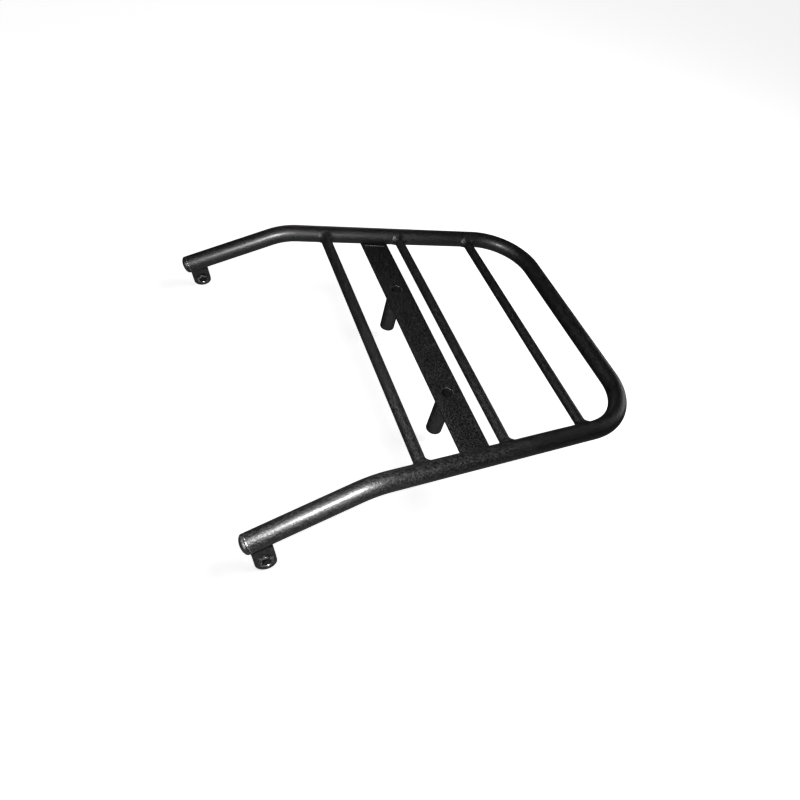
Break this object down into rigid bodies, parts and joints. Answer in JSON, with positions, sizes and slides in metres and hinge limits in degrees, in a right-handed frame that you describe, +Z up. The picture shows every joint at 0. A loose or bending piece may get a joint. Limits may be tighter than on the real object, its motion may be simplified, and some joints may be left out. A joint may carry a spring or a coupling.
{
  "type": "tubular luggage rack",
  "caption": "Rigid bolt-on tubular steel luggage rack: bent hoop with dropped front arms, cross tubes, a drilled mounting plate on stand-offs and threaded lugs.",
  "frame": {"origin": "midway between the two stand-off feet, on the plane they seat on", "axes": "+Z up from the seat towards the load, +Y to the rear bar, +X to the right-hand rail"},
  "size_m": [0.398, 0.4249, 0.0923],
  "materials": {
    "black_coat": "semi-gloss black powder coat with a fine orange-peel grain",
    "coated_weld": "semi-gloss black powder coat over rippled weld beads",
    "nut_steel": "thinly blacked steel, worn bright on the corners and thread",
    "plug_plastic": "satin black moulded plastic"
  },
  "bodies": {
    "root": {"hoop_tube": "black_coat", "cross_tube_front": "black_coat", "cross_tube_middle": "black_coat", "cross_tube_rear": "black_coat", "mounting_plate": "black_coat", "standoff_left": "black_coat", "standoff_right": "black_coat", "lug_left": "black_coat", "lug_right": "black_coat", "weld_cross_front_left": "coated_weld", "weld_cross_front_right": "coated_weld", "weld_cross_middle_left": "coated_weld", "weld_cross_middle_right": "coated_weld", "weld_cross_rear_left": "coated_weld", "weld_cross_rear_right": "coated_weld", "weld_plate_left": "coated_weld", "weld_plate_right": "coated_weld", "weld_standoff_left": "coated_weld", "weld_standoff_right": "coated_weld", "weld_lug_left_inner": "coated_weld", "weld_lug_left_outer": "coated_weld", "weld_lug_right_inner": "coated_weld", "weld_lug_right_outer": "coated_weld", "lug_nut_left": "nut_steel", "lug_nut_right": "nut_steel", "end_plug_left": "plug_plastic", "end_plug_right": "plug_plastic"}
  },
  "joints": []
}
